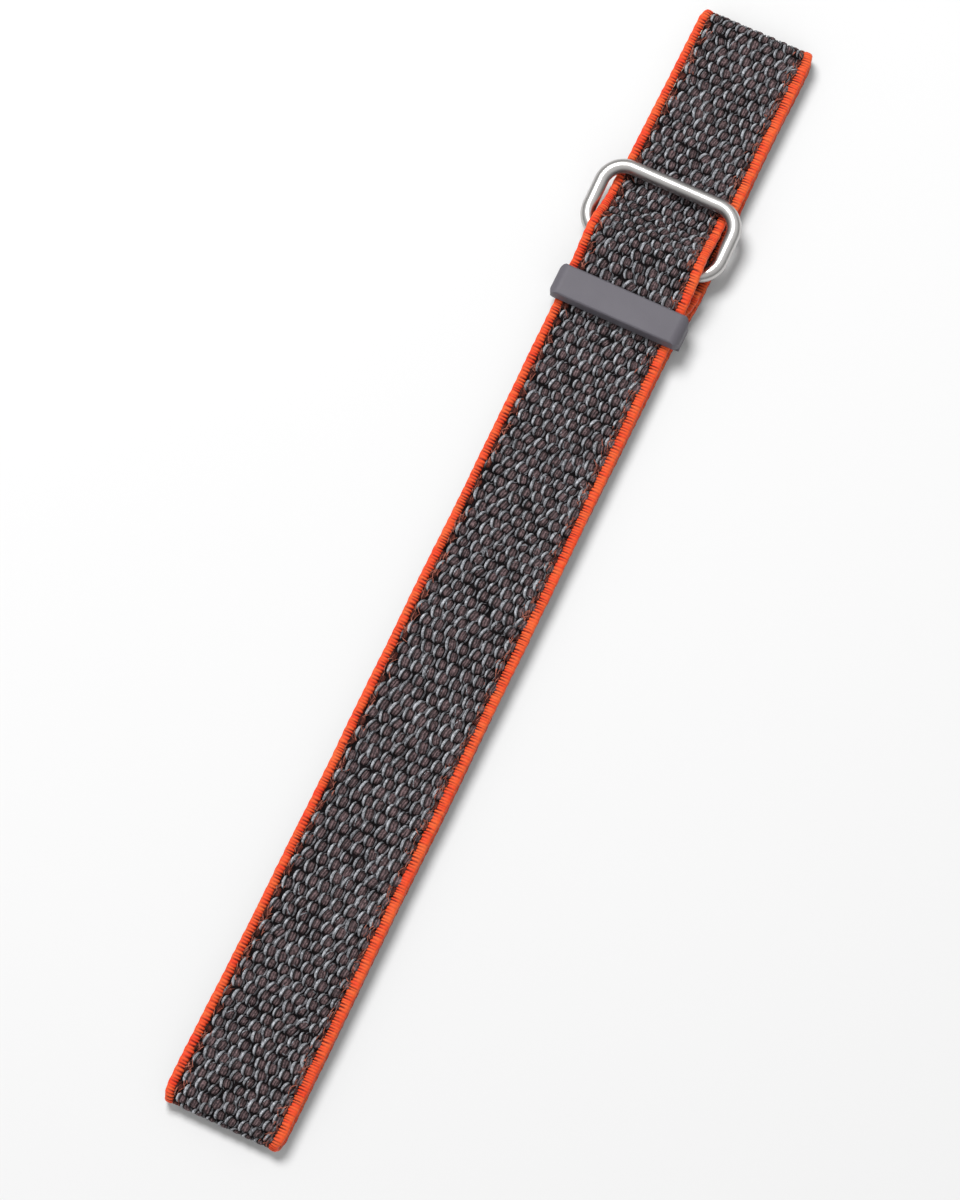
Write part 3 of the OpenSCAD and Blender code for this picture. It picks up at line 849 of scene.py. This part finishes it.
def keeper_look():
    """Fine matt grey with an even grain."""
    look = Look("keeper_grey", Specular_IOR_Level=0.28)
    place = look.place()
    grain = look.noise(place, 5200.0, 2.0)
    cloud = look.noise(place, 190.0)
    colour = look.mix(look.ramp(cloud, 0.3, 0.7), linear(94, 91, 98), linear(100, 97, 104))
    colour = look.mix(look.ramp(grain, 0.35, 0.65, 0.0, 0.12), colour, linear(124, 121, 128))
    return look.finish(Base_Color=colour, Roughness=look.ramp(grain, 0.3, 0.7, 0.5, 0.6),
                       Normal=look.bump(grain, 0.00001, 0.6))


def rubber_look():
    """Pale rubber strands with a wound cover."""
    look = Look("covered_rubber", Specular_IOR_Level=0.3)
    wind = look.noise(look.stretch(look.place(), 2600, 700, 700), 1.0)
    colour = look.mix(look.ramp(wind, 0.3, 0.7), linear(196, 188, 170), linear(226, 220, 206))
    return look.finish(Base_Color=colour, Roughness=look.ramp(wind, 0.3, 0.7, 0.7, 0.85),
                       Normal=look.bump(wind, 0.00003))


# The ramps at the end paint shade: bodies darker on the side under their crescent, crescents darker
# towards their dipping ends
bead_mat = yarn_look("bead_yarn", linear(38, 27, 29), linear(132, 109, 111), 0.7, 0.56, 0.78,
                     0.00007, (0.15, 0.55, 1.0, 0.08))
red_bead_mat = yarn_look("red_bead_yarn", linear(58, 19, 14), linear(140, 73, 61), 0.7, 0.72, 0.75,
                         0.00007, (0.22, 0.6, 1.0, 0.55))
yarn_mat = yarn_look("crescent_yarn", linear(68, 69, 74), linear(218, 220, 227), 0.5, 1.2, 0.6,
                     0.00004, (0.0, 0.5, 0.35, 1.0))
strand_mat = yarn_look("strand_yarn", linear(46, 44, 48), linear(168, 166, 172), 0.6, 1.2, 0.6,
                       0.00004)
tracer_mat = yarn_look("tracer_yarn", linear(128, 56, 44), linear(220, 140, 120), 0.7, 2.0, 0.5,
                       0.00003)
painted_shade_ground_mat = painted_shade_ground_look()
edge_mat = edge_look()
steel_mat = steel_look()
keeper_mat = keeper_look()
rubber_mat = rubber_look()


def dress(node, material):
    """Gives a CAD node's mesh its material in every slot."""
    mesh = frame["nodes"][node].data
    if not mesh.materials:
        mesh.materials.append(material)
    for i in range(len(mesh.materials)):
        mesh.materials[i] = material


# Camera, fitted to the strap's edges and ends in the photograph

def aim(ob, right, forward):
    """Turns an object that looks along its -Z axis; right is its X axis."""
    right, forward = Vector(right).normalized(), Vector(forward).normalized()
    up = right.cross(forward)
    ob.matrix_world = Matrix((right, up, -forward)).transposed().to_4x4()


camera = bpy.data.objects.new("camera", bpy.data.cameras.new("camera"))
bpy.context.scene.collection.objects.link(camera)
aim(camera, (0.4253, -0.9050, 0), (0.2566, 0.1205, -0.9590))
camera.location = (-0.2087, -0.0950, 0.7562)
camera.data.sensor_fit = "VERTICAL"
camera.data.sensor_height = 36.0
camera.data.lens = 149.45
camera.data.clip_start, camera.data.clip_end = 0.01, 20.0
bpy.context.scene.camera = camera


# Pieces

wide_end = band.cloth[6] + 0.42 * climb_l       # where the strap narrows, part way up to the bar
bare_end = band.length - 0.9                    # no beads on the sewn end's last bit
hidden_c = -(MOUTH_X - BLEND_START)             # the tail's cloth is in the keeper up to here
tail_start = BLEND_END + 0.3 - KEEPER_TRAVEL - MOUTH_X

# The band's knit is cut into eight, so that no piece has more faces than the export keeps
pieces = {"knit_start": [(0.0, under, FINE, COARSE)]}
for word, start, end, count, outside in (("under", under, fold_2, 2, PLAIN),
                                         ("run", fold_2, foot, 4, FINE)):
    cuts = np.linspace(start, end, count + 1)
    for k in range(count):
        pieces[f"knit_{word}_{k + 1}"] = [(cuts[k], cuts[k + 1], outside, COARSE)]
pieces["knit_run_4"].append((foot, wide_end, PLAIN, COARSE))
for name, parts in pieces.items():
    piece = web(name, band, band_columns, parts)
    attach(piece, "band")
    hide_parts("band_knit")
piece = web("knit_end", band, band_columns[band_columns < bare_end],
            [(wide_end, band.length, PLAIN, COARSE)], half=LOOP_W / 2, high=LOOP_T / STRAP_T)
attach(piece, "band")
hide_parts("band_knit")

for name, part in (("tail_web_drawn", (tail_start, hidden_c, PLAIN, COARSE)),
                   ("tail_web", (hidden_c, tail.length, FINE, COARSE))):
    piece = web(name, tail, tail_columns, [part])
    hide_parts("tail_knit")
    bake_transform(piece)

for side, word in ((1, "left"), (-1, "right")):
    piece = selvedge("roll_" + word, band, 0.0, wide_end, side)
    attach(piece, "band")
    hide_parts("band_edge_" + word)
    piece = selvedge("tail_roll_" + word, tail, tail_start, tail.length, side, cols=12)
    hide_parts("tail_edge_" + word)
    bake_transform(piece)

piece = bar_tack()
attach(piece, "band")
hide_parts("bar_tack")

piece = rubber_strands()
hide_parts("tail_elastic")
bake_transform(piece)

for node, material in (("band_elastic", rubber_mat), ("slide_ring", steel_mat),
                       ("keeper_cover", keeper_mat), ("keeper_base", keeper_mat),
                       ("tail_clamp", steel_mat)):
    dress(node, material)


# Floor and light

PALE = 0.93     # level of the background that the camera sees, as in the photograph


def floor():
    """A matt pale floor. Far from the strap, where the lamp fades, it shows a plain pale level."""
    look = Look("floor_white", Specular_IOR_Level=0.0)
    place = look.place()
    distance = look.add("VectorMath", out="Value", props={"operation": "LENGTH"}, i0=place)
    seen = look.math("MAXIMUM", look.add("LightPath", out="Is Camera Ray"),
                     look.add("LightPath", out="Is Glossy Ray"))
    seen = look.math("MULTIPLY", seen, look.ramp(distance, 0.22, 0.60))
    shine = look.add("Emission", Color=(1, 1, 1, 1), Strength=PALE)
    mixed = look.add("MixShader", i0=seen, i1=look.shader.outputs[0], i2=shine)
    look.tree.links.new(mixed, look.tree.nodes["Material Output"].inputs[0])
    colour = look.mix(look.ramp(look.noise(place, 3.0), 0.3, 0.7), (0.828, 0.828, 0.828, 1),
                      (0.838, 0.838, 0.838, 1))
    look.finish(Base_Color=colour, Roughness=0.9)
    me = bpy.data.meshes.new("floor")
    me.from_pydata([(-2, -2, 0), (2, -2, 0), (2, 2, 0), (-2, 2, 0)], [], [(0, 1, 2, 3)])
    me.materials.append(look.mat)
    ob = bpy.data.objects.new("floor", me)
    bpy.context.scene.collection.objects.link(ob)


def lamp(name, way, distance, size, power):
    """A round lamp that shines at the middle of the strap, with its light coming from way."""
    data = bpy.data.lights.new(name, "AREA")
    data.shape, data.size, data.energy = "DISK", size, power
    ob = bpy.data.objects.new(name, data)
    way = Vector(way).normalized()
    ob.location = way * distance
    ob.rotation_euler = way.to_track_quat("Z", "Y").to_euler()
    bpy.context.scene.collection.objects.link(ob)


def world():
    """Soft studio surroundings: bright overhead and towards -X, dim near the horizon.

    Glossy rays see a brighter room, so that the steel has something to mirror, and the camera sees
    a plain pale background.
    """
    w = bpy.data.worlds.new("studio")
    bpy.context.scene.world = w
    w.use_nodes = True
    sky = Nodes(w.node_tree)
    way = sky.add("TexCoord", out="Generated")
    height = sky.add("SeparateXYZ", out="Z", Vector=way)

    def towards(direction):
        return sky.add("VectorMath", out="Value", props={"operation": "DOT_PRODUCT"},
                       i0=way, i1=direction)

    overhead = sky.ramp(height, 0.0, 0.5, 0.13, 0.31, kind="SMOOTHSTEP")
    window = sky.ramp(towards((-0.87, 0.0, 0.5)), 0.45, 1.0, 0.0, 0.50, kind="SMOOTHSTEP")
    light = sky.math("ADD", overhead, window)
    mirrored_sky = sky.math("MULTIPLY", sky.ramp(height, 0.0, 0.85, 0.2, 0.94, kind="SMOOTHSTEP"),
                            sky.ramp(towards((0.95, 0.1, 0.3)), -0.7, 1.0, 0.85, 1.0))
    level = sky.add("Mix", i0=sky.add("LightPath", out="Is Glossy Ray"), i2=light, i3=mirrored_sky)
    level = sky.add("Mix", i0=sky.add("LightPath", out="Is Camera Ray"), i2=level, i3=PALE)
    back = w.node_tree.nodes["Background"]
    sky.put(back, "Color", (1, 1, 1, 1))
    sky.put(back, "Strength", level)


floor()
lamp("key", way=(0.65, 0.8, 2.3), distance=1.1, size=0.5, power=10.4)
world()
bpy.context.scene.view_settings.view_transform = "Standard"
